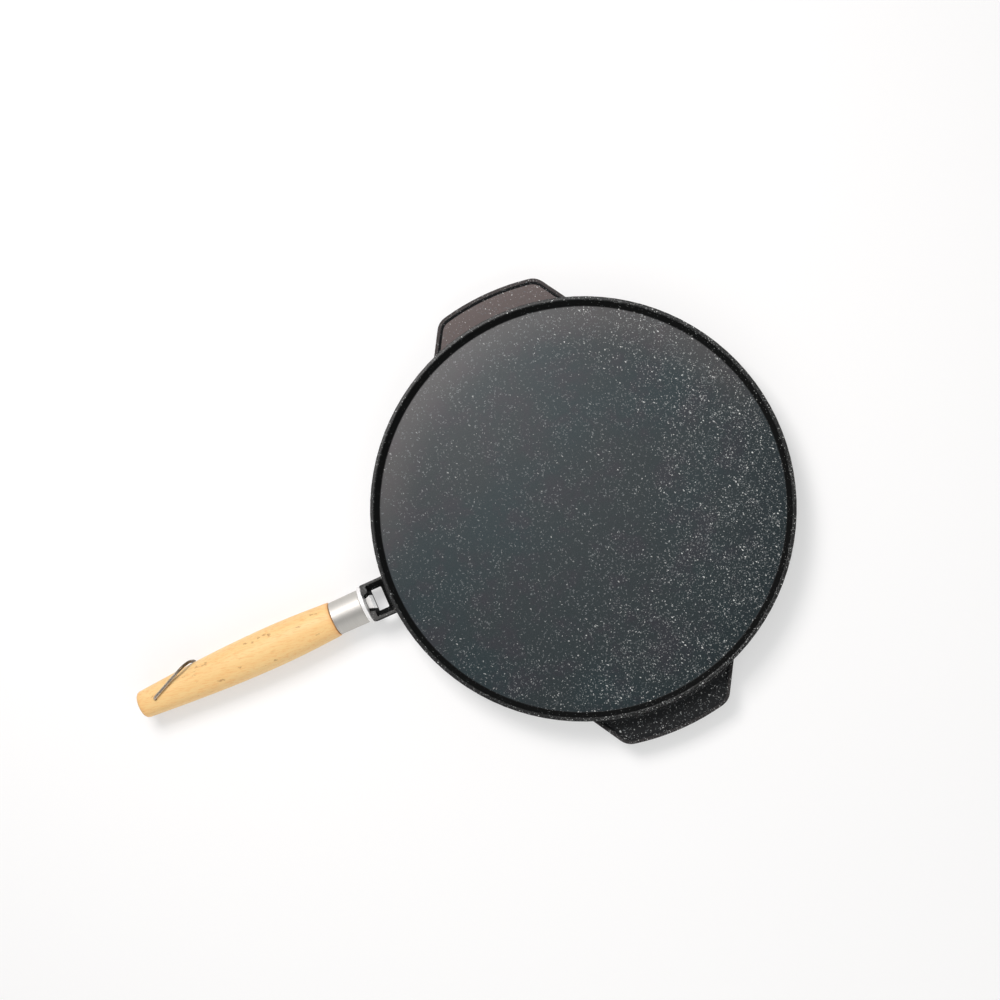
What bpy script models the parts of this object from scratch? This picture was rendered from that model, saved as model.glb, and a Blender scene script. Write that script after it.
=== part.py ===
"""Double-sided cast grill pan with a removable wooden handle.

The casting has a shallow smooth griddle on its upper face and a ribbed grill on its
under face, two ears and a bracket. The handle hangs in the bracket by a dovetail key
and is clamped there by turning the grip on a threaded stud.

Units are metres, +Z is up, and the pan lies on the rim of its ribbed side.
"""

import math

import bmesh
import bpy
from mathutils import Vector

MM = 0.001

# Clearances
SEAT_GAP = 0.3 * MM
CUT_MARGIN = 1.0 * MM

# Casting, dish
RIM_RADIUS = 170.0 * MM
RIM_LAND = 2.6 * MM
PAN_HEIGHT = 38.0 * MM
GRIDDLE_DEPTH = 7.0 * MM
PLATE_THICKNESS = 5.0 * MM
OUTER_DRAFT = math.radians(2.0)
GRIDDLE_DRAFT = math.radians(30.0)
GRILL_DRAFT = math.radians(8.0)
GRIDDLE_FOOT_FILLET = 1.0 * MM
GRILL_FOOT_FILLET = 4.0 * MM
RIM_OUTER_EDGE = 0.8 * MM
RIM_INNER_EDGE = 0.6 * MM
DISH_SIDES = 96

# Casting, grill ribs
RIB_PITCH = 13.0 * MM
RIB_HEIGHT = 5.0 * MM
RIB_ROOT_WIDTH = 6.0 * MM
RIB_TOP_WIDTH = 3.0 * MM
RIB_ROOTING = 1.0 * MM
GUTTER_WIDTH = 7.0 * MM

# Casting, ears
EAR_OVERHANG = 23.0 * MM
EAR_TIP_WIDTH = 88.4 * MM
EAR_ROOT_WIDTH = 124.0 * MM
EAR_THICKNESS = 8.0 * MM
EAR_CORNER = 14.0 * MM
EAR_EDGE = 1.2 * MM
EAR_BORDER = 2.6 * MM
EAR_PANEL_DEPTH = 2.0 * MM
EAR_PANEL_SLOPE = 1.8 * MM
EAR_PANEL_CORNER = 11.0 * MM
EAR_ARC_STEPS = 11

# Casting, bracket for the handle
BRACKET_OVERHANG = 20.6 * MM
BRACKET_WIDTH = 31.2 * MM
BRACKET_HEIGHT = 20.0 * MM
BRACKET_DRAFT = math.radians(3.0)
BRACKET_CORNER = 1.0 * MM
CLAMP_WALL = 4.4 * MM
WINDOW_WIDTH = 18.0 * MM
WINDOW_LEDGE = 5.0 * MM
WINDOW_DRAFT = math.radians(25.5)
WINDOW_CORNER = 1.0 * MM
NOTCH_FLOOR = 3.2 * MM
NOTCH_FLARE = 2.8 * MM

# Clamp key and stud
KEY_HEIGHT = 13.0 * MM
KEY_OUTER_WIDTH = 8.2 * MM
KEY_INNER_WIDTH = 11.4 * MM
KEY_BOSS_WIDTH = 11.0 * MM
KEY_BOSS_CORNER = 1.0 * MM
KEY_NECK_WIDTH = 7.2 * MM
STUD_RADIUS = 3.0 * MM
STUD_LENGTH = 43.0 * MM
STUD_IN_KEY = 3.0 * MM
STUD_CHAMFER = 0.6 * MM

# Collar, ferrule and nut
COLLAR_RADIUS = 16.0 * MM
COLLAR_THICKNESS = 3.5 * MM
COLLAR_EDGE = 0.7 * MM
FERRULE_LENGTH = 26.2 * MM
FERRULE_FRONT_RADIUS = 14.2 * MM
FERRULE_REAR_RADIUS = 13.9 * MM
FERRULE_WALL = 1.3 * MM
FERRULE_END_WALL = 1.5 * MM
FERRULE_EDGE = 0.5 * MM
NUT_RADIUS = 5.5 * MM
NUT_LENGTH = 18.0 * MM
NUT_EDGE = 0.5 * MM

# Grip
GRIP_LENGTH = 177.5 * MM
GRIP_SEAM_RADIUS = 14.7 * MM
GRIP_BELLY_RADIUS = 17.0 * MM
GRIP_BELLY_AT = 58.0 * MM
GRIP_TAIL_RADIUS = 11.3 * MM
GRIP_TAIL_CORNER = 3.2 * MM
GRIP_TAIL_DOME = 0.6 * MM
GRIP_SEAM_EDGE = 1.2 * MM
GRIP_BORE_SLACK = 8.0 * MM
GRIP_BELLY_STEPS = 5
GRIP_TAIL_STEPS = 9
HANDLE_SIDES = 48

# Hanging bail
WIRE_RADIUS = 1.3 * MM
BAIL_FROM_TAIL = 17.0 * MM
BAIL_LENGTH = 40.0 * MM
BAIL_STUB = 9.0 * MM
BAIL_EYE_BEND = 2.2 * MM
BAIL_CORNER_BEND = 10.0 * MM
BAIL_LIFT = 0.8 * MM

# Places that follow from the sizes above
PARTING_HEIGHT = PAN_HEIGHT / 2
PARTING_RADIUS = RIM_RADIUS + PARTING_HEIGHT * math.tan(OUTER_DRAFT)
GRIDDLE_LEVEL = PAN_HEIGHT - GRIDDLE_DEPTH
GRILL_LEVEL = GRIDDLE_LEVEL - PLATE_THICKNESS
RIM_INNER_RADIUS = RIM_RADIUS - RIM_LAND
GRIDDLE_FOOT_RADIUS = RIM_INNER_RADIUS - GRIDDLE_DEPTH * math.tan(GRIDDLE_DRAFT)
GRILL_FOOT_RADIUS = RIM_INNER_RADIUS - GRILL_LEVEL * math.tan(GRILL_DRAFT)
ROOT_RADIUS = RIM_RADIUS - 0.75 * RIM_LAND
EAR_REACH = RIM_RADIUS + EAR_OVERHANG
BRACKET_REACH = RIM_RADIUS + BRACKET_OVERHANG
BRACKET_TOP = PARTING_HEIGHT + BRACKET_HEIGHT / 2
BRACKET_BOTTOM = PARTING_HEIGHT - BRACKET_HEIGHT / 2
KEY_BOTTOM = BRACKET_BOTTOM + NOTCH_FLOOR + SEAT_GAP
KEY_TOP = KEY_BOTTOM + KEY_HEIGHT
COLLAR_FRONT = SEAT_GAP
COLLAR_REAR = COLLAR_FRONT + COLLAR_THICKNESS
FERRULE_FRONT = COLLAR_REAR + SEAT_GAP
FERRULE_REAR = FERRULE_FRONT + FERRULE_LENGTH
TENON_FRONT = FERRULE_FRONT + FERRULE_END_WALL + SEAT_GAP
TENON_RADIUS = FERRULE_REAR_RADIUS - FERRULE_WALL - SEAT_GAP
GRIP_SEAM = FERRULE_REAR + SEAT_GAP
GRIP_TAIL = GRIP_SEAM + GRIP_LENGTH
NUT_FRONT = TENON_FRONT + SEAT_GAP
NUT_REAR = NUT_FRONT + NUT_LENGTH
STUD_FRONT = -STUD_IN_KEY
STUD_REAR = STUD_FRONT + STUD_LENGTH
BAIL_AT = GRIP_TAIL - BAIL_FROM_TAIL
PAN_CENTRE_X = (BRACKET_REACH + GRIP_TAIL - PARTING_RADIUS) / 2


def clear_scene():
    """Remove every object, so that the file holds the pan alone."""
    for item in list(bpy.data.objects):
        bpy.data.objects.remove(item, do_unlink=True)


def new_collection(name):
    """Make a collection and link it to the scene."""
    group = bpy.data.collections.new(name)
    bpy.context.scene.collection.children.link(group)
    return group


def new_empty(name, parent, location, rotation=(0.0, 0.0, 0.0)):
    """Make an empty that carries pieces modelled about its own axes."""
    empty = bpy.data.objects.new(name, None)
    parts.objects.link(empty)
    empty.parent = parent
    empty.location = location
    empty.rotation_euler = rotation
    return empty


def finish_material(name, colour, metallic, roughness):
    """One Principled BSDF material."""
    finish = bpy.data.materials.new(name)
    finish.use_nodes = True
    shader = finish.node_tree.nodes["Principled BSDF"]
    shader.inputs["Base Color"].default_value = (*colour, 1.0)
    shader.inputs["Metallic"].default_value = metallic
    shader.inputs["Roughness"].default_value = roughness
    return finish


def coated_aluminium():
    return finish_material("granite_coating", (0.055, 0.065, 0.070), 0.0, 0.55)


def cast_zinc():
    return finish_material("cast_zinc", (0.62, 0.61, 0.59), 1.0, 0.45)


def plated_steel(name):
    return finish_material(name, (0.72, 0.71, 0.70), 1.0, 0.30)


def brushed_aluminium():
    return finish_material("brushed_aluminium", (0.70, 0.69, 0.67), 1.0, 0.40)


def beech():
    return finish_material("oiled_beech", (0.85, 0.58, 0.31), 0.0, 0.50)


def new_part(name, mesh, parent, location=(0.0, 0.0, 0.0), rotation=(0.0, 0.0, 0.0)):
    """A piece of the pan, in the parts collection."""
    part = bpy.data.objects.new(name, mesh)
    parts.objects.link(part)
    part.parent = parent
    part.location = location
    part.rotation_euler = rotation
    return part


def new_tool(name, mesh, parent, location=(0.0, 0.0, 0.0), rotation=(0.0, 0.0, 0.0)):
    """A shape that only cuts or extends a piece."""
    tool = bpy.data.objects.new(name, mesh)
    tools.objects.link(tool)
    tool.parent = parent
    tool.location = location
    tool.rotation_euler = rotation
    tool.hide_render = True
    tool.display_type = "WIRE"
    return tool


def combine(part, tool, operation):
    """Join a tool to a part, or cut it out, with an exact Boolean."""
    step = part.modifiers.new(tool.name, "BOOLEAN")
    step.operation = operation
    step.solver = "EXACT"
    step.object = tool


def soften(part, material, angle=math.radians(35.0)):
    """Give a piece its material and smooth shading with sharp edges."""
    part.data.materials.append(material)
    if part.type == "MESH":
        part.data.shade_smooth()
        part.data.set_sharp_from_angle(angle=angle)


def arc_points(centre, radius, start, end, steps):
    """Points on an arc, both ends included."""
    points = []
    for step in range(steps + 1):
        turn_angle = start + (end - start) * step / steps
        x = centre[0] + radius * math.cos(turn_angle)
        y = centre[1] + radius * math.sin(turn_angle)
        points.append((x, y))
    return points


def rounded(corners, steps=3, closed=True):
    """Round the corners of an outline, each given as (x, y, fillet radius)."""
    count = len(corners)
    points = []
    for index, (x, y, radius) in enumerate(corners):
        is_end = not closed and index in (0, count - 1)
        if radius == 0.0 or is_end:
            points.append((x, y))
            continue
        corner = Vector((x, y))
        to_last = (Vector(corners[index - 1][:2]) - corner).normalized()
        to_next = (Vector(corners[(index + 1) % count][:2]) - corner).normalized()
        half_angle = to_last.angle(to_next) / 2
        centre = corner + (to_last + to_next).normalized() * radius / math.sin(half_angle)
        reach = radius / math.tan(half_angle)
        first = corner + to_last * reach - centre
        last = corner + to_next * reach - centre
        start = math.atan2(first.y, first.x)
        sweep = (math.atan2(last.y, last.x) - start + math.pi) % (2 * math.pi) - math.pi
        points.extend(arc_points(centre, radius, start, start + sweep, steps))
    return points


def turned_mesh(name, profile, closed):
    """Mesh of a profile of (radius, height) points, ready for a Screw modifier."""
    mesh = bpy.data.meshes.new(name)
    points = [(radius, 0.0, height) for radius, height in profile]
    edges = [(index, index + 1) for index in range(len(points) - 1)]
    if closed:
        edges.append((len(points) - 1, 0))
    mesh.from_pydata(points, edges, [])
    return mesh


def turn(part, sides):
    """Turn a profile about the part's own Z axis."""
    screw = part.modifiers.new("turn", "SCREW")
    screw.axis = "Z"
    screw.angle = 2 * math.pi
    screw.steps = sides
    screw.render_steps = sides
    screw.use_merge_vertices = True
    screw.merge_threshold = 0.02 * MM
    screw.use_smooth_shade = True


def plate_mesh(name, outline, low, high):
    """Flat plate with a plan outline, between two heights."""
    curve = bpy.data.curves.new(name, "CURVE")
    curve.dimensions = "2D"
    curve.fill_mode = "BOTH"
    curve.extrude = (high - low) / 2
    spline = curve.splines.new("POLY")
    spline.points.add(len(outline) - 1)
    for point, (x, y) in zip(spline.points, outline):
        point.co = (x, y, 0.0, 1.0)
    spline.use_cyclic_u = True
    return welded_mesh(name, curve, (low + high) / 2)


def welded_mesh(name, curve, lift=0.0):
    """Closed mesh of a curve, with its caps welded on."""
    sketch = bpy.data.objects.new(name + "_sketch", curve)
    tools.objects.link(sketch)
    bpy.context.view_layer.update()
    evaluated = sketch.evaluated_get(bpy.context.evaluated_depsgraph_get())
    mesh = bpy.data.meshes.new_from_object(evaluated)
    mesh.name = name
    bpy.data.objects.remove(sketch, do_unlink=True)
    shape = bmesh.new()
    shape.from_mesh(mesh)
    bmesh.ops.remove_doubles(shape, verts=shape.verts, dist=0.01 * MM)
    bmesh.ops.translate(shape, verts=shape.verts, vec=(0.0, 0.0, lift))
    bmesh.ops.recalc_face_normals(shape, faces=shape.faces)
    shape.to_mesh(mesh)
    shape.free()
    return mesh


def loft_into(shape, sections):
    """Add a solid through sections of (height, outline), which have as many points each."""
    rings = [[shape.verts.new((x, y, height)) for x, y in outline] for height, outline in sections]
    count = len(rings[0])
    shape.faces.new(reversed(rings[0]))
    shape.faces.new(rings[-1])
    for lower, upper in zip(rings, rings[1:]):
        for index in range(count):
            after = (index + 1) % count
            shape.faces.new((lower[index], lower[after], upper[after], upper[index]))


def loft_mesh(name, *solids):
    """Mesh of one or more lofted solids."""
    shape = bmesh.new()
    for sections in solids:
        loft_into(shape, sections)
    bmesh.ops.recalc_face_normals(shape, faces=shape.faces)
    mesh = bpy.data.meshes.new(name)
    shape.to_mesh(mesh)
    shape.free()
    return mesh


def rod_mesh(name, radius, low, high, sides, axis="Z"):
    """Closed round rod along an axis, between two places on it."""
    shape = bmesh.new()
    bmesh.ops.create_cone(
        shape,
        cap_ends=True,
        segments=sides,
        radius1=radius,
        radius2=radius,
        depth=high - low,
    )
    bmesh.ops.translate(shape, verts=shape.verts, vec=(0.0, 0.0, (low + high) / 2))
    if axis == "X":
        for corner in shape.verts:
            corner.co = (corner.co.z, corner.co.y, -corner.co.x)
    mesh = bpy.data.meshes.new(name)
    shape.to_mesh(mesh)
    shape.free()
    return mesh


def rectangle(x_low, x_high, half_width):
    """Plan outline of a rectangle, centred on the X axis."""
    return [(x_low, -half_width), (x_high, -half_width), (x_high, half_width), (x_low, half_width)]


def rounded_rectangle(x_low, x_high, half_width, corner):
    """Plan outline of a rectangle with rounded corners."""
    return rounded([(x, y, corner) for x, y in rectangle(x_low, x_high, half_width)])


def dish_profile():
    """Half section of the dish, from the griddle's centre round to the grill's centre."""
    corners = [
        (0.0, GRIDDLE_LEVEL, 0.0),
        (GRIDDLE_FOOT_RADIUS, GRIDDLE_LEVEL, GRIDDLE_FOOT_FILLET),
        (RIM_INNER_RADIUS, PAN_HEIGHT, RIM_INNER_EDGE),
        (RIM_RADIUS, PAN_HEIGHT, RIM_OUTER_EDGE),
        (PARTING_RADIUS, PARTING_HEIGHT, 0.0),
        (RIM_RADIUS, 0.0, RIM_OUTER_EDGE),
        (RIM_INNER_RADIUS, 0.0, RIM_INNER_EDGE),
        (GRILL_FOOT_RADIUS, GRILL_LEVEL, GRILL_FOOT_FILLET),
        (0.0, GRILL_LEVEL, 0.0),
    ]
    return rounded(corners, closed=False)


def rib_sections(offset, half_length):
    """One grill rib, which narrows towards its free edge."""
    slope = (RIB_ROOT_WIDTH - RIB_TOP_WIDTH) / 2 / RIB_HEIGHT
    sections = []
    for height in (GRILL_LEVEL - RIB_HEIGHT, GRILL_LEVEL + RIB_ROOTING):
        spread = (height - GRILL_LEVEL + RIB_HEIGHT) * slope
        half_width = RIB_TOP_WIDTH / 2 + spread
        end = half_length - RIB_HEIGHT + spread * 2
        outline = [(x, y + offset) for x, y in rectangle(-end, end, half_width)]
        sections.append((height, outline))
    return sections


def grill_ribs():
    """Parallel ribs that end on a circle inside the gutter."""
    rib_radius = GRILL_FOOT_RADIUS - GUTTER_WIDTH
    count = int((rib_radius - RIB_ROOT_WIDTH) / RIB_PITCH)
    ribs = []
    for index in range(-count, count + 1):
        offset = index * RIB_PITCH
        half_length = math.sqrt(rib_radius ** 2 - offset ** 2)
        ribs.append(rib_sections(offset, half_length))
    return new_tool("rib_tool", loft_mesh("rib_tool", *ribs), pan_centre)


def ear_outline(inset, root_radius, corner):
    """Plan outline of one ear on the +Y side, drawn in from its edge by the inset."""
    reach = EAR_REACH - inset
    tip = Vector((EAR_TIP_WIDTH / 2, math.sqrt(EAR_REACH ** 2 - (EAR_TIP_WIDTH / 2) ** 2)))
    root = Vector((EAR_ROOT_WIDTH / 2, math.sqrt(RIM_RADIUS ** 2 - (EAR_ROOT_WIDTH / 2) ** 2)))
    flank = (tip - root).normalized()
    inward = Vector((-flank.y, flank.x)) * inset
    tip_angle = angle_on_circle(root + inward, flank, reach)
    root_angle = angle_on_circle(root + inward, flank, root_radius)
    corners = []
    for x, y in arc_points((0.0, 0.0), reach, tip_angle, math.pi - tip_angle, EAR_ARC_STEPS):
        corners.append((x, y, 0.0))
    corners[0] = (*corners[0][:2], corner)
    corners[-1] = (*corners[-1][:2], corner)
    if root_angle < math.pi / 2:
        for x, y in arc_points((0.0, 0.0), root_radius, math.pi - root_angle, root_angle, EAR_ARC_STEPS):
            corners.append((x, y, 0.0))
    return rounded(corners, steps=5)


def angle_on_circle(point, direction, radius):
    """Where a line from a point meets a circle about the pan's centre, as an angle."""
    along = point.dot(direction)
    reach = -along + math.sqrt(along ** 2 - point.length_squared + radius ** 2)
    meeting = point + direction * reach
    return math.atan2(meeting.y, meeting.x)


def both_sides(outline):
    """The outline of the ear on the +Y side and its twin on the -Y side."""
    twin = [(x, -y) for x, y in reversed(outline)]
    return outline, twin


def ear_tools():
    """Plates of the two ears, and the shallow panels cut into both of their faces."""
    low = PARTING_HEIGHT - EAR_THICKNESS / 2
    high = PARTING_HEIGHT + EAR_THICKNESS / 2
    plates = []
    panels = []
    plate_outlines = both_sides(ear_outline(0.0, ROOT_RADIUS, EAR_CORNER))
    for side, outline in zip(("left", "right"), plate_outlines):
        name = "ear_plate_" + side
        plate = new_tool(name, plate_mesh(name, outline, low, high), pan_centre)
        edge = plate.modifiers.new("edge", "BEVEL")
        edge.width = EAR_EDGE
        edge.segments = 2
        edge.limit_method = "ANGLE"
        edge.angle_limit = math.radians(60.0)
        plates.append(plate)
    brim_radius = PARTING_RADIUS + EAR_EDGE
    outlines = []
    for height in (-EAR_PANEL_DEPTH, CUT_MARGIN):
        spread = height * EAR_PANEL_SLOPE / EAR_PANEL_DEPTH
        outlines.append(both_sides(ear_outline(EAR_BORDER - spread, brim_radius - spread, EAR_PANEL_CORNER)))
    for side, floor, sky in zip(("left", "right"), *outlines):
        for face, level, outward in (("upper", high, 1.0), ("lower", low, -1.0)):
            name = "ear_panel_" + side + "_" + face
            sections = [(level - outward * EAR_PANEL_DEPTH, floor), (level + outward * CUT_MARGIN, sky)]
            panels.append(new_tool(name, loft_mesh(name, sections), pan_centre))
    return plates, panels


def bracket_tool():
    """Block of the bracket, widest at the parting line."""
    widening = BRACKET_HEIGHT / 2 * math.tan(BRACKET_DRAFT)
    sections = []
    for height, extra in ((BRACKET_BOTTOM, 0.0), (PARTING_HEIGHT, widening), (BRACKET_TOP, 0.0)):
        half_width = BRACKET_WIDTH / 2 + extra
        corners = [(x, y, BRACKET_CORNER) for x, y in rectangle(-BRACKET_REACH, -ROOT_RADIUS, half_width)]
        corners[1] = (*corners[1][:2], 0.0)
        corners[2] = (*corners[2][:2], 0.0)
        sections.append((height, rounded(corners)))
    return new_tool("bracket_tool", loft_mesh("bracket_tool", sections), pan_centre)


def window_tool():
    """Opening through the bracket, narrowest at the parting line."""
    rise = BRACKET_HEIGHT / 2 + CUT_MARGIN
    sections = []
    for height in (PARTING_HEIGHT - rise, PARTING_HEIGHT, PARTING_HEIGHT + rise):
        widening = abs(height - PARTING_HEIGHT) * math.tan(WINDOW_DRAFT)
        x_low = -BRACKET_REACH + CLAMP_WALL
        x_high = -PARTING_RADIUS - WINDOW_LEDGE + widening
        half_width = WINDOW_WIDTH / 2 + widening
        sections.append((height, rounded_rectangle(x_low, x_high, half_width, WINDOW_CORNER)))
    return new_tool("window_tool", loft_mesh("window_tool", sections), pan_centre)


def dovetail_outline(x_outer, x_inner, extra):
    """Plan outline of the dovetail between two places along the handle's line."""
    slope = (KEY_INNER_WIDTH - KEY_OUTER_WIDTH) / 2 / CLAMP_WALL

    def half_width(x):
        return KEY_OUTER_WIDTH / 2 + (x + BRACKET_REACH) * slope + extra

    outer = half_width(x_outer)
    inner = half_width(x_inner)
    return [(x_outer, -outer), (x_inner, -inner), (x_inner, inner), (x_outer, outer)]


def notch_tool():
    """Dovetail slot for the key, with a flared way in from above."""
    x_outer = -BRACKET_REACH - CUT_MARGIN
    x_inner = -BRACKET_REACH + CLAMP_WALL + CUT_MARGIN
    flare_rise = BRACKET_TOP - KEY_TOP
    flare_slope = NOTCH_FLARE / flare_rise
    sections = []
    for height, extra in (
        (BRACKET_BOTTOM + NOTCH_FLOOR, 0.0),
        (KEY_TOP, 0.0),
        (BRACKET_TOP + CUT_MARGIN, (flare_rise + CUT_MARGIN) * flare_slope),
    ):
        sections.append((height, dovetail_outline(x_outer, x_inner, SEAT_GAP + extra)))
    return new_tool("notch_tool", loft_mesh("notch_tool", sections), pan_centre)


def make_casting():
    """The pan itself: dish, ribs, ears and bracket in one casting."""
    casting = new_part("pan_casting", turned_mesh("pan_casting", dish_profile(), closed=False), pan_centre)
    turn(casting, DISH_SIDES)
    plates, panels = ear_tools()
    for plate in plates:
        combine(casting, plate, "UNION")
    combine(casting, bracket_tool(), "UNION")
    combine(casting, grill_ribs(), "UNION")
    for panel in panels:
        combine(casting, panel, "DIFFERENCE")
    combine(casting, window_tool(), "DIFFERENCE")
    combine(casting, notch_tool(), "DIFFERENCE")
    soften(casting, coated_aluminium())


def make_key():
    """Dovetail key with a square boss, bored for the stud."""
    outline = dovetail_outline(-BRACKET_REACH, -BRACKET_REACH + CLAMP_WALL, 0.0)
    mesh = loft_mesh("clamp_key", [(KEY_BOTTOM, outline), (KEY_TOP, outline)])
    for corner in mesh.vertices:
        corner.co.x += BRACKET_REACH
        corner.co.z -= PARTING_HEIGHT
    key = new_part("clamp_key", mesh, pan_centre, (-BRACKET_REACH, 0.0, PARTING_HEIGHT))
    half_boss = KEY_BOSS_WIDTH / 2
    outline = rounded_rectangle(-half_boss, half_boss, half_boss, KEY_BOSS_CORNER)
    boss_mesh = loft_mesh("boss_tool", [(SEAT_GAP, outline), (COLLAR_REAR - SEAT_GAP, outline)])
    combine(key, new_tool("boss_tool", boss_mesh, handle_line), "UNION")
    outline = rectangle(-half_boss + CUT_MARGIN, half_boss - CUT_MARGIN, KEY_NECK_WIDTH / 2)
    neck_mesh = loft_mesh("neck_tool", [(-CUT_MARGIN, outline), (CUT_MARGIN, outline)])
    combine(key, new_tool("neck_tool", neck_mesh, handle_line), "UNION")
    bore = rod_mesh("stud_bore_tool", STUD_RADIUS + SEAT_GAP, STUD_FRONT - SEAT_GAP, COLLAR_REAR, 24)
    combine(key, new_tool("stud_bore_tool", bore, handle_line), "DIFFERENCE")
    soften(key, cast_zinc())


def make_stud():
    """Threaded stud, screwed into the key and running up inside the grip."""
    corners = [
        (0.0, STUD_REAR, 0.0),
        (STUD_RADIUS - STUD_CHAMFER, STUD_REAR, 0.0),
        (STUD_RADIUS, STUD_REAR - STUD_CHAMFER, 0.0),
        (STUD_RADIUS, STUD_FRONT, 0.0),
        (0.0, STUD_FRONT, 0.0),
    ]
    stud = new_part("draw_stud", turned_mesh("draw_stud", rounded(corners, closed=False), False), handle_line)
    turn(stud, 24)
    soften(stud, plated_steel("threaded_steel"))


def make_collar():
    """Pressure disc that bears on the bracket and slides on the key's square boss."""
    corners = [
        (0.0, COLLAR_REAR, 0.0),
        (COLLAR_RADIUS, COLLAR_REAR, COLLAR_EDGE),
        (COLLAR_RADIUS, COLLAR_FRONT, COLLAR_EDGE),
        (0.0, COLLAR_FRONT, 0.0),
    ]
    profile = rounded(corners, closed=False)
    collar = new_part("clamp_collar", turned_mesh("clamp_collar", profile, closed=False), handle_line)
    turn(collar, HANDLE_SIDES)
    half_hole = KEY_BOSS_WIDTH / 2 + SEAT_GAP
    outline = rounded_rectangle(-half_hole, half_hole, half_hole, KEY_BOSS_CORNER + SEAT_GAP)
    hole = loft_mesh("collar_hole_tool", [(-CUT_MARGIN, outline), (COLLAR_REAR + CUT_MARGIN, outline)])
    combine(collar, new_tool("collar_hole_tool", hole, handle_line), "DIFFERENCE")
    soften(collar, plated_steel("zinc_plated_steel"))


def make_ferrule():
    """Tapered cup over the grip's tenon, with a hole for the stud in its end wall."""
    hole_radius = STUD_RADIUS + CUT_MARGIN
    bore_radius = TENON_RADIUS + SEAT_GAP
    corners = [
        (FERRULE_REAR_RADIUS, FERRULE_REAR, FERRULE_EDGE),
        (FERRULE_FRONT_RADIUS, FERRULE_FRONT, FERRULE_EDGE),
        (hole_radius, FERRULE_FRONT, 0.0),
        (hole_radius, FERRULE_FRONT + FERRULE_END_WALL, 0.0),
        (bore_radius, FERRULE_FRONT + FERRULE_END_WALL, 0.0),
        (bore_radius, FERRULE_REAR, 0.0),
    ]
    ferrule = new_part("ferrule", turned_mesh("ferrule", rounded(corners), closed=True), handle_line)
    turn(ferrule, HANDLE_SIDES)
    soften(ferrule, brushed_aluminium())


def make_nut():
    """Threaded insert, sunk in the grip's tenon."""
    corners = [
        (NUT_RADIUS, NUT_REAR, NUT_EDGE),
        (NUT_RADIUS, NUT_FRONT, NUT_EDGE),
        (STUD_RADIUS + SEAT_GAP, NUT_FRONT, 0.0),
        (STUD_RADIUS + SEAT_GAP, NUT_REAR, 0.0),
    ]
    mesh = turned_mesh("insert_nut", rounded(corners, steps=2), closed=True)
    nut = new_part("insert_nut", mesh, handle_line)
    turn(nut, 24)
    soften(nut, plated_steel("insert_steel"))


def grip_radius(place):
    """Radius of the grip at a distance from the seam: a swell, then a long taper."""
    if place < GRIP_BELLY_AT:
        swell = math.sin(math.pi / 2 * place / GRIP_BELLY_AT)
        return GRIP_SEAM_RADIUS + (GRIP_BELLY_RADIUS - GRIP_SEAM_RADIUS) * swell
    fall = math.cos(math.pi / 2 * (place - GRIP_BELLY_AT) / (GRIP_LENGTH - GRIP_BELLY_AT))
    return GRIP_TAIL_RADIUS + (GRIP_BELLY_RADIUS - GRIP_TAIL_RADIUS) * fall


def grip_profile():
    """Half section of the grip, from its tail down to the blind end of its bore."""
    corner_place = GRIP_LENGTH - GRIP_TAIL_DOME
    corner_start = corner_place - GRIP_TAIL_CORNER
    corners = [(0.0, GRIP_TAIL, 0.0)]
    corners.append((GRIP_TAIL_RADIUS / 2, GRIP_TAIL - GRIP_TAIL_DOME / 4, 0.0))
    corners.append((grip_radius(corner_place), GRIP_SEAM + corner_place, GRIP_TAIL_CORNER))
    for step in range(GRIP_TAIL_STEPS):
        place = corner_start + (GRIP_BELLY_AT - corner_start) * (step + 0.5) / GRIP_TAIL_STEPS
        corners.append((grip_radius(place), GRIP_SEAM + place, 0.0))
    for step in range(GRIP_BELLY_STEPS):
        place = GRIP_BELLY_AT * (1 - step / GRIP_BELLY_STEPS)
        corners.append((grip_radius(place), GRIP_SEAM + place, 0.0))
    bore_radius = STUD_RADIUS + CUT_MARGIN
    pocket_radius = NUT_RADIUS + SEAT_GAP
    corners.append((GRIP_SEAM_RADIUS, GRIP_SEAM, GRIP_SEAM_EDGE))
    corners.append((TENON_RADIUS, GRIP_SEAM, 0.0))
    corners.append((TENON_RADIUS, TENON_FRONT, 0.0))
    corners.append((pocket_radius, TENON_FRONT, 0.0))
    corners.append((pocket_radius, NUT_REAR + SEAT_GAP, 0.0))
    corners.append((bore_radius, NUT_REAR + SEAT_GAP, 0.0))
    corners.append((bore_radius, STUD_REAR + GRIP_BORE_SLACK, 0.0))
    corners.append((0.0, STUD_REAR + GRIP_BORE_SLACK, 0.0))
    return rounded(corners, closed=False)


def make_grip():
    """Turned beech grip with a tenon, a bore for the stud and a cross hole for the bail."""
    grip = new_part("grip", turned_mesh("grip", grip_profile(), closed=False), handle_line)
    turn(grip, HANDLE_SIDES)
    reach = GRIP_BELLY_RADIUS + CUT_MARGIN
    hole = rod_mesh("bail_hole_tool", WIRE_RADIUS + SEAT_GAP, -reach, reach, 16, axis="X")
    combine(grip, new_tool("bail_hole_tool", hole, handle_line, (0.0, 0.0, BAIL_AT)), "DIFFERENCE")
    soften(grip, beech())


def bail_angle():
    """Angle at which the bail's cross part meets the side of the grip."""
    side = grip_radius(BAIL_AT - GRIP_SEAM)
    for _ in range(12):
        angle = math.asin((side + SEAT_GAP + WIRE_RADIUS) / BAIL_LENGTH)
        side = grip_radius(BAIL_AT - GRIP_SEAM - BAIL_LENGTH * math.cos(angle))
    return angle


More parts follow.
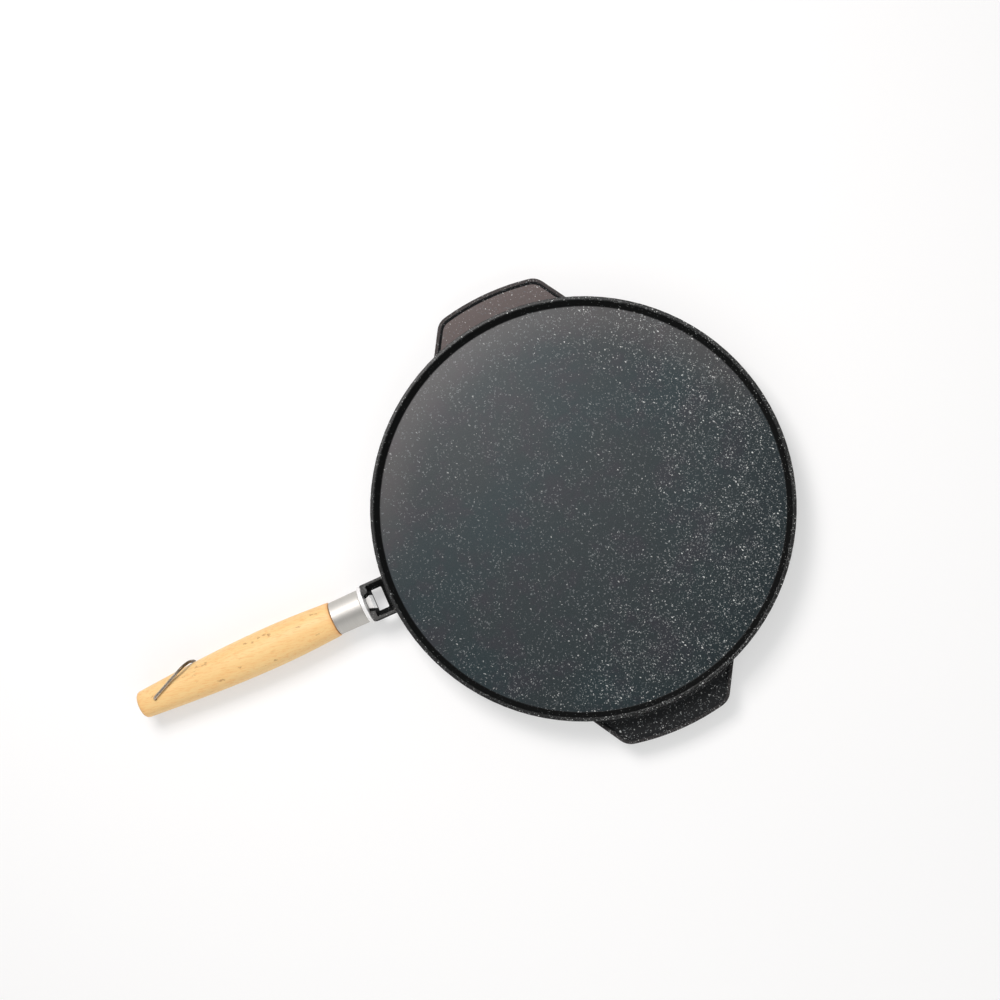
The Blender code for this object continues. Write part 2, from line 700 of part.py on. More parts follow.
def make_bail():
    """Bent wire loop whose two ends turn in the grip's cross hole."""
    leg_height = grip_radius(BAIL_AT - GRIP_SEAM) + BAIL_LIFT + WIRE_RADIUS
    stub_height = leg_height - BAIL_STUB
    corners = [
        (0.0, stub_height, 0.0),
        (0.0, leg_height, BAIL_EYE_BEND),
        (BAIL_LENGTH, leg_height, BAIL_CORNER_BEND),
        (BAIL_LENGTH, -leg_height, BAIL_CORNER_BEND),
        (0.0, -leg_height, BAIL_EYE_BEND),
        (0.0, -stub_height, 0.0),
    ]
    path = rounded(corners, steps=5, closed=False)
    curve = bpy.data.curves.new("hanging_bail", "CURVE")
    curve.dimensions = "3D"
    curve.bevel_depth = WIRE_RADIUS
    curve.bevel_resolution = 2
    curve.use_fill_caps = True
    spline = curve.splines.new("POLY")
    spline.points.add(len(path) - 1)
    for point, (x, z) in zip(spline.points, path):
        point.co = (x, 0.0, z, 1.0)
    bail = new_part(
        "hanging_bail",
        welded_mesh("hanging_bail", curve),
        pan_centre,
        (-BRACKET_REACH - BAIL_AT, 0.0, PARTING_HEIGHT),
        (0.0, 0.0, bail_angle()),
    )
    soften(bail, plated_steel("bright_wire"))


clear_scene()
parts = new_collection("double_grill_pan")
tools = new_collection("cutters")
pan_centre = new_empty("pan_centre", None, (PAN_CENTRE_X, 0.0, 0.0))
handle_line = new_empty(
    "handle_line",
    pan_centre,
    (-BRACKET_REACH, 0.0, PARTING_HEIGHT),
    (0.0, -math.pi / 2, 0.0),
)
make_casting()
make_key()
make_stud()
make_collar()
make_ferrule()
make_nut()
make_grip()
make_bail()
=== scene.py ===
import math
from types import SimpleNamespace

import bpy
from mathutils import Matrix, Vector


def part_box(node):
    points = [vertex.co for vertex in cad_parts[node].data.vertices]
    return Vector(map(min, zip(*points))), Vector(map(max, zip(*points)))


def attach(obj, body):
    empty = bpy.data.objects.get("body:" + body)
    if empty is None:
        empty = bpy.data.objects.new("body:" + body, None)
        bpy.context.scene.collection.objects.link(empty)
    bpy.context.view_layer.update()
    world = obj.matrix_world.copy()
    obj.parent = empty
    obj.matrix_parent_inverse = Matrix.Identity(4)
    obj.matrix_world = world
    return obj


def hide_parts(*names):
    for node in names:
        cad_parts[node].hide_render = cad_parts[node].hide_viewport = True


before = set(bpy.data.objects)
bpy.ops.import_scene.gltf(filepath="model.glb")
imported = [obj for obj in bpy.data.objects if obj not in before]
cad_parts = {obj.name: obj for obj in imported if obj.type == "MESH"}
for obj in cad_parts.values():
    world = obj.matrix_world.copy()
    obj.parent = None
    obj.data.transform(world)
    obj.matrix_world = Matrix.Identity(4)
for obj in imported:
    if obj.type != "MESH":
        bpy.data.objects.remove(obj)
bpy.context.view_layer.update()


# The studio: a pale sweep under three soft lamps, the strongest up and to the left, and a
# camera that looks almost straight down on the pan, as in the photograph.

scene = bpy.context.scene
scene.view_settings.view_transform = "Standard"


class Paint:
    """A socket of a material's node tree, on which arithmetic adds Math nodes."""

    def __init__(self, tree, socket=None):
        self.tree = tree
        self.socket = socket

    def node(self, kind, settings=None, output=0, **values):
        """Add a node with its settings and the values or links of its sockets."""
        made = self.tree.nodes.new(kind)
        for key, setting in (settings or {}).items():
            setattr(made, key, setting)
        for key, value in values.items():
            socket = self.input(made, key)
            if isinstance(value, Paint):
                self.tree.links.new(value.socket, socket)
            elif isinstance(value, tuple) and socket.type == "RGBA":
                socket.default_value = (*value, 1.0)
            else:
                socket.default_value = value
        return Paint(self.tree, made.outputs[output] if made.outputs else None)

    def beside(self, output):
        """Another output of the node that this socket belongs to."""
        return Paint(self.tree, self.socket.node.outputs[output])

    @staticmethod
    def input(made, key):
        """The input socket that a keyword names: at_0 is the first, base_color is Base Color."""
        if key.startswith("at_"):
            return made.inputs[int(key[3:])]
        name = key.replace("_", " ").lower()
        return next(socket for socket in made.inputs if socket.name.lower() == name)

    def math(self, operation, second=0.0):
        return self.node("ShaderNodeMath", {"operation": operation}, at_0=self, at_1=second)

    def rest(self, operation, first):
        return self.node("ShaderNodeMath", {"operation": operation}, at_0=first, at_1=self)

    def __add__(self, other):
        return self.math("ADD", other)

    def __radd__(self, other):
        return self.rest("ADD", other)

    def __sub__(self, other):
        return self.math("SUBTRACT", other)

    def __rsub__(self, other):
        return self.rest("SUBTRACT", other)

    def __mul__(self, other):
        return self.math("MULTIPLY", other)

    def __rmul__(self, other):
        return self.rest("MULTIPLY", other)

    def above(self, level):
        return self.math("GREATER_THAN", level)

    def below(self, level):
        return self.math("LESS_THAN", level)

    def fade(self, low, high, to_low=0.0, to_high=1.0):
        """Map a range of this value smoothly to another."""
        return self.node(
            "ShaderNodeMapRange",
            {"interpolation_type": "SMOOTHSTEP"},
            value=self,
            from_min=low,
            from_max=high,
            to_min=to_low,
            to_max=to_high,
        )

    def blend(self, mask, first, second):
        """Mix two colours by a mask."""
        return self.node("ShaderNodeMix", {"data_type": "RGBA"}, output=2, at_0=mask, at_6=first, at_7=second)

    def seen(self):
        """Mask of the rays that show a surface: straight, off a glossy one or through glass."""
        straight = self.node("ShaderNodeLightPath", output="Is Camera Ray")
        glossy = straight.beside("Is Glossy Ray")
        through = straight.beside("Is Transmission Ray")
        return straight.math("MAXIMUM", glossy).math("MAXIMUM", through)

    def spots(self, place, scale):
        """Distance to the nearest of many scattered points; the second output is each one's colour."""
        return self.node("ShaderNodeTexVoronoi", vector=place, scale=scale)

    def stretch(self, place, long, turn):
        """Coordinates in which a pattern is drawn out along a direction in the plan."""
        return self.node(
            "ShaderNodeMapping",
            {"vector_type": "TEXTURE"},
            vector=place,
            rotation=(0.0, 0.0, math.radians(turn)),
            scale=(long, 1.0, 1.0),
        )

    def noise(self, place, scale, detail=2.0, **values):
        return self.node("ShaderNodeTexNoise", vector=place, scale=scale, detail=detail, **values)

    def wander(self, place, scale, detail, reach):
        """Coordinates that stray by up to a reach, so that a pattern on them loses its order."""
        drift = self.noise(place, scale, detail).beside(1)
        settings = {"operation": "MULTIPLY_ADD"}
        return self.node("ShaderNodeVectorMath", settings, at_0=drift, at_1=(reach,) * 3, at_2=place)

    def away_from(self, place, point):
        """Distance of each place from a point."""
        return self.node("ShaderNodeVectorMath", {"operation": "DISTANCE"}, output=1, at_0=place, at_1=point)


def new_material(name):
    """A material and its tree, with nothing but the output."""
    material = bpy.data.materials.new(name)
    material.use_nodes = True
    material.node_tree.nodes.clear()
    return material, Paint(material.node_tree)


def finish_material(material, paint, surface):
    """Link a shader to the material's output."""
    paint.node("ShaderNodeOutputMaterial", surface=surface)
    return material


FLOOR_COLOUR = (0.95, 0.95, 0.945)
FLOOR_SIDE = 8.0
FLOOR_LIFT = -0.0004
FLOOR_GLOW = 0.46
SWEEP_FADES = (0.6, 1.6)

bpy.ops.object.select_all(action="DESELECT")
bpy.ops.mesh.primitive_plane_add(size=FLOOR_SIDE, location=(0.0, 0.0, FLOOR_LIFT))
floor = bpy.context.object
floor.name = "floor"
floor_material, paint = new_material("pale_sweep")
paper = paint.node("ShaderNodeBsdfDiffuse", color=FLOOR_COLOUR)
glow = paint.node("ShaderNodeEmission", color=(1.0, 1.0, 1.0), strength=1.0)
spot = paint.node("ShaderNodeTexCoord", output="Object")
away = paint.away_from(spot, (0.0, 0.0, 0.0))
haze = paint.seen() * away.fade(*SWEEP_FADES, FLOOR_GLOW, 1.0)
lit_paper = paint.node("ShaderNodeMixShader", at_0=haze, at_1=paper, at_2=glow)
floor.data.materials.append(finish_material(floor_material, paint, lit_paper))

ROOM_COLOUR = (0.97, 0.985, 1.0)
ROOM_LIGHT = 0.22
WALL_FADES = (0.45, 0.85)

world = bpy.data.worlds.new("studio_air")
scene.world = world
world.use_nodes = True
world.node_tree.nodes.clear()
paint = Paint(world.node_tree)
way = paint.node("ShaderNodeTexCoord", output="Generated")
height = paint.node("ShaderNodeSeparateXYZ", output="Z", vector=way)
room = paint.node("ShaderNodeBackground", color=ROOM_COLOUR, strength=ROOM_LIGHT)
white = paint.node("ShaderNodeBackground", color=(1.0, 1.0, 1.0), strength=1.0)
wall = paint.seen() * height.fade(*WALL_FADES, 1.0, 0.0)
mixed = paint.node("ShaderNodeMixShader", at_0=wall, at_1=room, at_2=white)
paint.node("ShaderNodeOutputWorld", surface=mixed)

PARTING_RADIUS = 0.17066
pan_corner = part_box("pan_casting")[1]
PAN_CENTRE = Vector((pan_corner.x - PARTING_RADIUS, 0.0, pan_corner.z))


def soft_lamp(name, offset, size, power, colour, glints=True):
    """Square lamp that faces the pan from an offset; one without glints is like a matt white wall."""
    lamp = bpy.data.lights.new(name, "AREA")
    lamp.size = size
    lamp.energy = power
    lamp.color = colour
    holder = bpy.data.objects.new(name, lamp)
    scene.collection.objects.link(holder)
    holder.location = PAN_CENTRE + Vector(offset)
    holder.rotation_euler = (-Vector(offset)).to_track_quat("-Z", "Y").to_euler()
    holder.visible_glossy = glints


soft_lamp("key_lamp", (-0.22, 0.79, 1.30), size=0.60, power=18.0, colour=(1.0, 0.96, 0.955))
soft_lamp("top_lamp", (-0.03, 0.28, 1.30), size=0.75, power=2.8, colour=(0.96, 0.985, 1.0))
soft_lamp("fill_lamp", (-0.1, -1.35, 0.75), size=2.2, power=14.0, colour=(1.0, 0.99, 0.97), glints=False)

LENS_LENGTH = 50.0
SENSOR_WIDTH = 36.0
CAMERA_OFFSET = (0.0150, -0.08431, 1.10545)
CAMERA_TURNS = (3.947, 5.789, -23.942)

camera_data = bpy.data.cameras.new("camera")
camera_data.lens = LENS_LENGTH
camera_data.sensor_width = SENSOR_WIDTH
camera = bpy.data.objects.new("camera", camera_data)
scene.collection.objects.link(camera)
camera.location = PAN_CENTRE + Vector(CAMERA_OFFSET)
camera.rotation_euler = [math.radians(turn) for turn in CAMERA_TURNS]
scene.camera = camera


# The casting: one piece of gravity-cast aluminium with the dish, the ribs, the ears and the
# bracket. All of it is sprayed dark grey and spattered with pale mineral flecks, then baked.

COAT_SLATE = (0.0072, 0.0196, 0.0238)
COAT_BROWN = (0.0122, 0.0196, 0.0222)
COAT_FAR_SHADE = (0.0035, 0.0120, 0.0155)
COAT_GRAIN = (0.058, 0.072, 0.076)
COAT_PLUM = (0.0200, 0.0165, 0.0250)
COAT_FRAME_AND_SHADE = (0.0065, 0.0068, 0.0068)
COAT_PAINTED_SHEEN = (0.135, 0.112, 0.108)
COAT_PAINTED_TOP_LIGHT = (0.080, 0.079, 0.077)
COAT_OUTSIDE = (0.018, 0.019, 0.020)
FLECK_PALE = (0.80, 0.82, 0.80)
FLECK_GREY = (0.16, 0.175, 0.18)
FACE_RADIUS = 0.163
FACE_EDGE = 0.0006
LAND_RADIUS = 0.1668
LAND_DEPTH = 0.0009
EAR_FROM = 0.1714
LATHE_FROM = 0.155
LATHE_LEAN = 0.045
FLAT_FACE = 0.999
MID_HEIGHT = PAN_CENTRE.z / 2
PANEL_HALF = 0.0026
BRACKET_FACE = 0.0093
BRACKET_SIDE = 0.017
BRACKET_FROM = PAN_CENTRE.x - 0.16
LEVEL = 0.8
SPATTER_CALM = (PAN_CENTRE.x - 0.085, 0.055, PAN_CENTRE.z)
FLECK_WANDER = 0.0012
SOFT_EDGE = 0.0007
PEEL_DEPTH = 0.0002
MERGE_WITHIN = 0.000005
FLAT_WITHIN = math.radians(0.5)


def smooth_copy(node, name, angle):
    """Copy of a CAD node with its triangles merged and smooth shading over its soft edges."""
    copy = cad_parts[node].copy()
    copy.data = copy.data.copy()
    copy.name = name
    copy.data.name = name
    for label in list(copy.keys()):
        del copy[label]
    copy.parent = None
    scene.collection.objects.link(copy)
    bpy.ops.object.select_all(action="DESELECT")
    copy.select_set(True)
    bpy.context.view_layer.objects.active = copy
    bpy.ops.mesh.customdata_custom_splitnormals_clear()
    bpy.ops.object.mode_set(mode="EDIT")
    bpy.ops.mesh.select_all(action="SELECT")
    bpy.ops.mesh.remove_doubles(threshold=MERGE_WITHIN)
    bpy.ops.mesh.dissolve_limited(angle_limit=FLAT_WITHIN)
    bpy.ops.object.mode_set(mode="OBJECT")
    bpy.ops.object.shade_smooth_by_angle(angle=math.radians(angle))
    copy.data.materials.clear()
    lean = copy.modifiers.new("flat_faces_win", "WEIGHTED_NORMAL")
    lean.mode = "FACE_AREA"
    lean.keep_sharp = True
    bpy.ops.object.modifier_apply(modifier=lean.name)
    return copy


def casting_zones(paint, place):
    """Masks of the casting's parts, each 1 on its part, and the distances that they come from."""
    plan = paint.node("ShaderNodeVectorMath", {"operation": "MULTIPLY"}, at_0=place, at_1=(1.0, 1.0, 0.0))
    radius = paint.away_from(plan, (PAN_CENTRE.x, 0.0, 0.0))
    side = paint.node("ShaderNodeSeparateXYZ", output=1, vector=place)
    off_middle = (side.beside(2) - MID_HEIGHT).math("ABSOLUTE")
    upright = paint.node("ShaderNodeTexCoord", output="Normal")
    level = paint.node("ShaderNodeSeparateXYZ", output=2, vector=upright).math("ABSOLUTE").above(LEVEL)
    land = radius.above(LAND_RADIUS) * off_middle.above(MID_HEIGHT - LAND_DEPTH)
    framing = radius.fade(FACE_RADIUS - FACE_EDGE, FACE_RADIUS + FACE_EDGE)
    ear = radius.above(EAR_FROM)
    bracket = side.math("ABSOLUTE").below(BRACKET_SIDE) * side.beside(0).below(BRACKET_FROM)
    lug = ear * (1.0 - bracket)
    return SimpleNamespace(
        radius=radius,
        side=side,
        calm=paint.away_from(place, SPATTER_CALM),
        land=land,
        dark=framing * (1.0 - land),
        framing=framing,
        wall=framing * radius.below(LAND_RADIUS),
        ear=ear,
        lug=lug,
        outside=radius.above(LAND_RADIUS) * (1.0 - land) * (1.0 - bracket),
        panel=ear * off_middle.below(PANEL_HALF) * level,
        border=lug * off_middle.above(PANEL_HALF) * level,
        bracket_tops=ear * off_middle.above(BRACKET_FACE),
    )


def undercoat(paint, place, zone):
    """The coat's colour: bluish and mottled on the cooking faces, with painted shade on the far side, the
    recess wall and the bracket, painted sheen near the rim on the key lamp's side and on the far ear, and a
    painted highlight on the bracket's tops.
    """
    cloud = paint.noise(place, 11.0, 3.0).fade(0.38, 0.64)
    mottle = paint.noise(place, 34.0, 4.0, roughness=0.65).fade(0.46, 0.66)
    grain = paint.noise(place, 1100.0, 2.0, roughness=0.7).fade(0.38, 0.72)
    coat = paint.blend(cloud, COAT_SLATE, COAT_BROWN)
    coat = paint.blend(mottle * 0.6, coat, COAT_PLUM)
    # Painted shade: the coat darkens on the side of the pan away from the key lamp.
    coat = paint.blend(zone.calm.fade(0.20, 0.28), coat, COAT_FAR_SHADE)
    coat = paint.blend(grain * 0.26, coat, COAT_GRAIN)
    # Painted sheen: a paler band near the rim on the key lamp's side.
    sheen_ring = zone.radius.fade(0.125, FACE_RADIUS) * zone.side.fade(-0.02, 0.09)
    coat = paint.blend(sheen_ring * 0.30, coat, COAT_PAINTED_SHEEN)
    # Darker, neutral coat on the recess wall, rim land and bracket: partly the frame's own coat, partly
    # painted shade in the recess round the cooking face and in the bracket.
    coat = paint.blend(zone.framing, coat, paint.blend(zone.outside, COAT_FRAME_AND_SHADE, COAT_OUTSIDE))
    # Painted sheen: the far ear's panel and border are lighter than the near ear's.
    coat = paint.blend(zone.panel * zone.side.fade(0.09, 0.17), coat, COAT_PAINTED_SHEEN)
    coat = paint.blend(zone.border * zone.side.fade(-0.10, 0.15, 0.13, 0.32), coat, COAT_PAINTED_SHEEN)
    # Painted highlight: the bracket's top faces are lighter.
    return paint.blend(zone.bracket_tops, coat, COAT_PAINTED_TOP_LIGHT)


def spatter(paint, place, zone, coat):
    """Flakes over a coat: grey ones everywhere, pale ones thicker away from a calm spot."""
    patch = paint.noise(place, 55.0, 3.0)
    bare = 1.0 - zone.wall * 0.85 - zone.ear * 0.3
    crowd = zone.calm.fade(0.11, 0.25, 0.13, 0.86) * patch.fade(0.35, 0.65, 0.7, 1.2) * (1.0 - zone.lug * 0.7)
    crowd = (crowd + zone.land * 0.2 + zone.lug * 0.38 + zone.bracket_tops) * bare
    bright = zone.calm.fade(0.05, 0.22, 0.45, 1.0).math("MAXIMUM", zone.land + zone.bracket_tops)
    even = patch.fade(0.35, 0.65, 0.5, 1.3) * bare
    # where they fall, how bright they are, how dull most of them are, range of strengths, colour
    grey = (even, 1.0, 1.0, 0.80, FLECK_GREY)
    dust = (crowd, bright, 3.4, 0.82, FLECK_PALE)
    chip = (crowd, bright, 1.2, 0.87, FLECK_PALE)
    strewn = paint.wander(place, 700.0, 1.0, FLECK_WANDER)
    for scale, long, turn, size, share, (spread, glow, dull, gain, shade) in (
        # cells in a metre, length by width, its direction, radius in cells, share of the cells, kind
        (1100.0, 3.0, 20.0, 0.48, 0.15, grey),
        (1100.0, 3.0, 83.0, 0.48, 0.15, grey),
        (1100.0, 3.0, 142.0, 0.48, 0.15, grey),
        (1300.0, 2.0, 50.0, 0.45, 0.62, dust),
        (1000.0, 2.0, 0.0, 0.42, 0.40, dust),
        (820.0, 2.0, 125.0, 0.41, 0.36, dust),
        (450.0, 1.8, 105.0, 0.27, 0.20, dust),
        (230.0, 1.6, 35.0, 0.20, 0.09, dust),
        (170.0, 1.5, 70.0, 0.20, 0.065, chip),
    ):
        distance = paint.spots(paint.stretch(strewn, long, turn), scale)
        pick = paint.node("ShaderNodeSeparateColor", color=distance.beside(1))
        strength = (pick.beside(1).math("POWER", dull) * gain + (0.95 - gain)) * glow
        reach = pick.beside(2) * size * 0.6 + size * 0.4
        dot = (reach - distance).fade(0.0, size * 0.35) * pick.below(spread * share)
        coat = paint.blend(dot * strength, coat, shade)
    return coat


def granite_coating():
    """Dark coat with pale flakes and an orange peel, glossier on the cooking faces than on the walls."""
    material, paint = new_material("granite_coating")
    place = paint.node("ShaderNodeTexCoord", output="Object")
    zone = casting_zones(paint, place)
    coat = spatter(paint, place, zone, undercoat(paint, place, zone))
    peel = paint.noise(place, 420.0, 3.0) * 0.7 + paint.noise(place, 2600.0, 2.0) * 0.3
    soft = paint.node("ShaderNodeBevel", {"samples": 4}, radius=SOFT_EDGE)
    bump = paint.node("ShaderNodeBump", height=peel, strength=0.3, distance=PEEL_DEPTH, normal=soft)
    shader = paint.node(
        "ShaderNodeBsdfPrincipled",
        base_color=coat,
        roughness=paint.noise(place, 90.0, 3.0).fade(0.2, 0.8, 0.33, 0.38) + zone.dark * 0.35,
        metallic=0.0,
        specular_ior_level=0.04,
        coat_weight=0.50 - zone.dark * 0.50 + zone.lug * 0.05,
        coat_roughness=0.35,
        normal=bump,
    )
    return finish_material(material, paint, shader)


def round_normals(turned, centre, radius):
    """Turn the normals of a lathe-turned wall past a radius to point straight away from its axis."""
    mesh = turned.data
    normals = [corner.vector.copy() for corner in mesh.corner_normals]
    for face in mesh.polygons:
        out = face.center - centre
        out.z = 0.0
        across = face.normal.cross(out.normalized()).z
        if out.length < radius or abs(across) > LATHE_LEAN or abs(face.normal.z) > FLAT_FACE:
            continue
        for corner in face.loop_indices:
            away = mesh.vertices[mesh.loops[corner].vertex_index].co - centre
            away.z = 0.0
            normal = normals[corner]
            flat = math.hypot(normal.x, normal.y)
            side = 1.0 if normal.dot(away) > 0.0 else -1.0
            away = away.normalized() * flat * side
            normals[corner] = Vector((away.x, away.y, normal.z)).normalized()
    mesh.normals_split_custom_set(normals)


casting = smooth_copy("pan_casting", "coated_casting", 32.0)
round_normals(casting, PAN_CENTRE, LATHE_FROM)
casting.data.materials.append(granite_coating())
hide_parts("pan_casting")
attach(casting, "pan")


# The clamp key: a die-cast zinc wedge with a dovetail plan, tumbled to a dull grey. It hangs
# in the bracket's notch and carries the stud.

KEY_GREY = (0.70, 0.695, 0.68)
MILLED_BRIGHT = (0.95, 0.95, 0.94)
KEY_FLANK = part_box("clamp_key")[1].x - 0.0002


def cast_metal(name, colour, roughness, grain, metallic=1.0, flank=1.0):
    """Pale metal with a fine tumbled grain, milled bright past a flank that faces the pan."""
    material, paint = new_material(name)
    place = paint.node("ShaderNodeTexCoord", output="Object")
    milled = paint.node("ShaderNodeSeparateXYZ", vector=place).above(flank)
    speck = paint.noise(place, grain, 3.0)
    stain = paint.noise(place, 160.0, 3.0).fade(0.3, 0.75)
    shade = paint.blend(stain, colour, tuple(0.82 * part for part in colour))
    shade = paint.blend(milled, shade, MILLED_BRIGHT)
    rough = speck.fade(0.3, 0.7, roughness - 0.06, roughness + 0.08) * (1.0 - milled * 0.8)
    soft = paint.node("ShaderNodeBevel", {"samples": 4}, radius=0.0004)
    bump = paint.node("ShaderNodeBump", height=speck, strength=0.3, distance=0.00012, normal=soft)
    shader = paint.node(
        "ShaderNodeBsdfPrincipled",
        base_color=shade,
        metallic=milled * (1.0 - metallic) + metallic,
        roughness=rough,
        normal=bump,
    )
    return finish_material(material, paint, shader)


key = smooth_copy("clamp_key", "dovetail_key", 25.0)
key.data.materials.append(cast_metal("cast_zinc", KEY_GREY, 0.5, 1400.0, metallic=0.2, flank=KEY_FLANK))
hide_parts("clamp_key")
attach(key, "key")


# The draw stud and the insert nut: zinc-plated steel, out of sight inside the ferrule and
# the grip while the handle is on.

stud = smooth_copy("draw_stud", "threaded_stud", 25.0)
stud.data.materials.append(cast_metal("threaded_steel", (0.50, 0.50, 0.50), 0.35, 900.0))
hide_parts("draw_stud")
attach(stud, "key")

nut = smooth_copy("insert_nut", "grip_insert", 25.0)
nut.data.materials.append(cast_metal("insert_steel", (0.50, 0.50, 0.48), 0.35, 900.0))
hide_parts("insert_nut")
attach(nut, "handle")


# The collar and the ferrule: a bright plated disc that bears on the bracket, and a turned
# aluminium cup behind it, brushed round and round on the lathe.

COLLAR_BRIGHT = (0.90, 0.895, 0.885)
FERRULE_PALE = (0.56, 0.545, 0.515)


def turned_metal(name, colour, roughness, ring_depth, metallic=1.0):
    """Metal with the fine rings of a lathe across the handle's line."""
    material, paint = new_material(name)
    place = paint.node("ShaderNodeTexCoord", output="Object")
    stretched = paint.node("ShaderNodeMapping", vector=place, scale=(1.0, 0.01, 0.01))
    rings = paint.noise(stretched, 5200.0, 2.0, roughness=0.7)
    wide = paint.noise(stretched, 900.0, 2.0)
    smear = paint.noise(place, 60.0, 2.0)
    shade = paint.blend(rings.fade(0.3, 0.7), colour, tuple(0.93 * part for part in colour))
    rough = rings * 0.10 + smear * 0.06 + (roughness - 0.08)
    bump = paint.node("ShaderNodeBump", height=rings * 0.6 + wide * 0.4, strength=0.25, distance=ring_depth)
    shader = paint.node(
        "ShaderNodeBsdfPrincipled",
        base_color=shade,
        metallic=metallic,
        roughness=rough,
        normal=bump,
    )
    return finish_material(material, paint, shader)


collar = smooth_copy("clamp_collar", "pressure_collar", 35.0)
collar.data.materials.append(turned_metal("plated_steel", COLLAR_BRIGHT, 0.45, 0.00004, metallic=0.25))
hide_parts("clamp_collar")
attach(collar, "collar")

ferrule = smooth_copy("ferrule", "turned_ferrule", 35.0)
ferrule.data.materials.append(turned_metal("brushed_aluminium", FERRULE_PALE, 0.54, 0.00005))
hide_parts("ferrule")
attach(ferrule, "handle")


# The grip: a turned length of steamed beech, sanded and oiled. Fine pores and short brown
# rays run with its length.

BEECH_PALE = (0.885, 0.625, 0.285)
BEECH_WARM = (0.87, 0.55, 0.23)
BEECH_DARK_ORANGE = (0.82, 0.40, 0.14)
BEECH_RAY = (0.50, 0.25, 0.09)
GRAIN_LEAN = -14.0
GRAIN_WANDER = 0.003
DARKER_AT_SEAM = 0.004
DARKER_AT_TAIL = 0.012
SEAM_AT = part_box("ferrule")[0].x
TAIL_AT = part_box("grip")[0].x
GRIP_AXIS = (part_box("grip")[0].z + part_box("grip")[1].z) / 2
FLAW_RADIUS = 0.0163
FLAWS = (
    # from the tail, round from the top in degrees, half length, half width
    (0.0585, 38.0, 0.0020, 0.0011),
    (0.0630, 34.0, 0.0028, 0.0009),
    (0.0670, 37.0, 0.0013, 0.0010),
    (0.1040, 40.0, 0.0024, 0.0009),
    (0.1100, 33.0, 0.0015, 0.0012),
    (0.1160, 39.0, 0.0015, 0.0011),
    (0.1210, 41.0, 0.0025, 0.0010),
    (0.1250, 35.0, 0.0018, 0.0012),
    (0.1630, 39.0, 0.0025, 0.0010),
    (0.1670, 35.0, 0.0018, 0.0010),
    (0.0745, -33.0, 0.0042, 0.0008),
    (0.1215, -45.0, 0.0015, 0.0011),
    (0.0930, -20.0, 0.0026, 0.0005),
    (0.1500, 18.0, 0.0030, 0.0005),
)


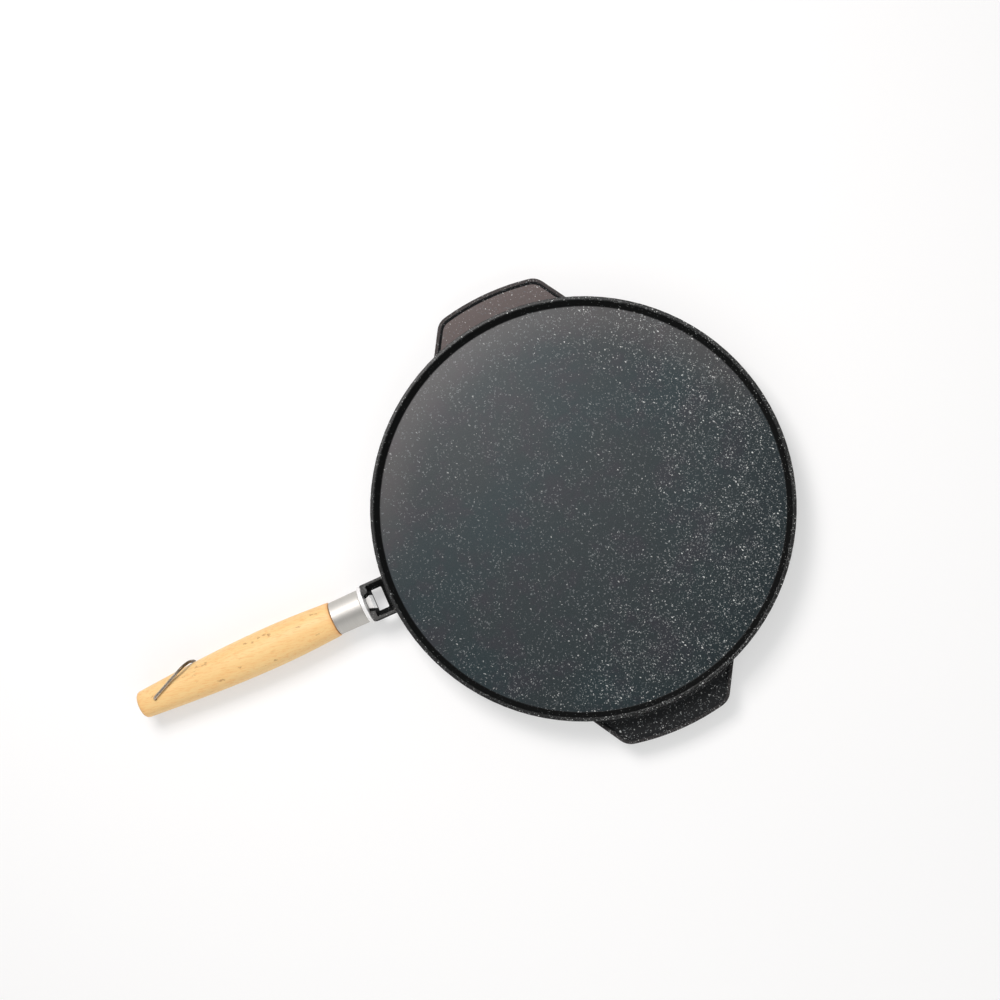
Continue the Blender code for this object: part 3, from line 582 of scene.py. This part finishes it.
def oiled_beech():
    """Pale beech with soft rings, leaning pores, small dark rays and ends that are darker and more orange."""
    material, paint = new_material("oiled_beech")
    place = paint.node("ShaderNodeTexCoord", output="Object")
    rings = paint.noise(paint.stretch(place, 22.0, GRAIN_LEAN / 4), 210.0, 4.0, distortion=0.6)
    pores = paint.noise(paint.stretch(place, 9.0, GRAIN_LEAN), 1000.0, 3.0, roughness=0.7)
    blush = paint.noise(paint.stretch(place, 3.0, GRAIN_LEAN), 45.0, 2.0)
    wood = paint.blend(rings.fade(0.32, 0.7) * 0.7, BEECH_PALE, BEECH_WARM)
    wood = paint.blend(blush.fade(0.45, 0.75) * 0.5, wood, BEECH_WARM)
    wood = paint.blend(pores.fade(0.47, 0.68) * 0.6, wood, BEECH_DARK_ORANGE)
    strayed = paint.wander(place, 500.0, 2.0, GRAIN_WANDER)
    for scale, long, size, share, strength in ((330.0, 3.2, 0.30, 0.16, 0.8), (130.0, 1.7, 0.18, 0.30, 0.8)):
        distance = paint.spots(paint.stretch(strayed, long, GRAIN_LEAN), scale)
        chance = paint.node("ShaderNodeSeparateColor", color=distance.beside(1))
        ray = distance.fade(size * 0.3, size, 1.0, 0.0) * chance.below(share)
        wood = paint.blend(ray * strength * chance.beside(1), wood, BEECH_RAY)
    for back, turn, long, wide in FLAWS:
        around = math.radians(turn)
        flaw_at = (TAIL_AT + back, FLAW_RADIUS * math.sin(around), GRIP_AXIS + FLAW_RADIUS * math.cos(around))
        near = paint.node(
            "ShaderNodeMapping",
            {"vector_type": "TEXTURE"},
            vector=strayed,
            location=tuple(part + GRAIN_WANDER / 2 for part in flaw_at),
            rotation=(0.0, 0.0, math.radians(GRAIN_LEAN)),
            scale=(long, wide, wide * 2.0),
        )
        reach = paint.away_from(near, (0.0, 0.0, 0.0))
        wood = paint.blend(reach.fade(0.4, 1.3, 0.85, 0.0), wood, BEECH_RAY)
    along = paint.node("ShaderNodeSeparateXYZ", vector=place)
    # Darker and more orange towards the seam with the ferrule and towards the tail.
    seam_end = along.fade(SEAM_AT - DARKER_AT_SEAM, SEAM_AT, 0.0, 0.7)
    tail_end = along.fade(TAIL_AT, TAIL_AT + DARKER_AT_TAIL, 0.3, 0.0)
    wood = paint.blend(seam_end + tail_end, wood, BEECH_DARK_ORANGE)
    rough = pores.fade(0.3, 0.7, 0.40, 0.52)
    bump = paint.node("ShaderNodeBump", height=pores, strength=0.22, distance=0.00012)
    shader = paint.node(
        "ShaderNodeBsdfPrincipled",
        base_color=wood,
        roughness=rough,
        metallic=0.0,
        specular_ior_level=0.35,
        normal=bump,
    )
    return finish_material(material, paint, shader)


grip = smooth_copy("grip", "beech_grip", 35.0)
grip.data.materials.append(oiled_beech())
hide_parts("grip")
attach(grip, "handle")


# The hanging bail: a loop of drawn steel wire, sprung into the grip's cross hole. Its bend is
# painted darker as shade.

WIRE_BROWN = (0.54, 0.46, 0.38)
WIRE_DARK_AND_SHADE = (0.12, 0.085, 0.050)
BEND_SHADE_FROM = TAIL_AT + 0.041
BEND_SHADE_TO = TAIL_AT + 0.047


def drawn_wire():
    """Brownish steel wire with draw marks, painted dark as shade at its bend."""
    material, paint = new_material("drawn_wire")
    place = paint.node("ShaderNodeTexCoord", output="Object")
    along = paint.node("ShaderNodeSeparateXYZ", vector=place)
    draw = paint.noise(place, 1800.0, 3.0)
    tone = paint.noise(place, 240.0, 2.0)
    # Painted shade: the bend at the far end of the loop is darker.
    bend_shade = along.fade(BEND_SHADE_FROM, BEND_SHADE_TO)
    shade = paint.blend(bend_shade, WIRE_BROWN, WIRE_DARK_AND_SHADE)
    shade = paint.blend(tone.fade(0.4, 0.7) * 0.4, shade, WIRE_DARK_AND_SHADE)
    rough = draw.fade(0.3, 0.7, 0.22, 0.34)
    bump = paint.node("ShaderNodeBump", height=draw, strength=0.3, distance=0.00008)
    shader = paint.node(
        "ShaderNodeBsdfPrincipled",
        base_color=shade,
        metallic=1.0,
        roughness=rough,
        normal=bump,
    )
    return finish_material(material, paint, shader)


bail = smooth_copy("hanging_bail", "wire_bail", 60.0)
bail.data.materials.append(drawn_wire())
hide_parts("hanging_bail")
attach(bail, "bail")
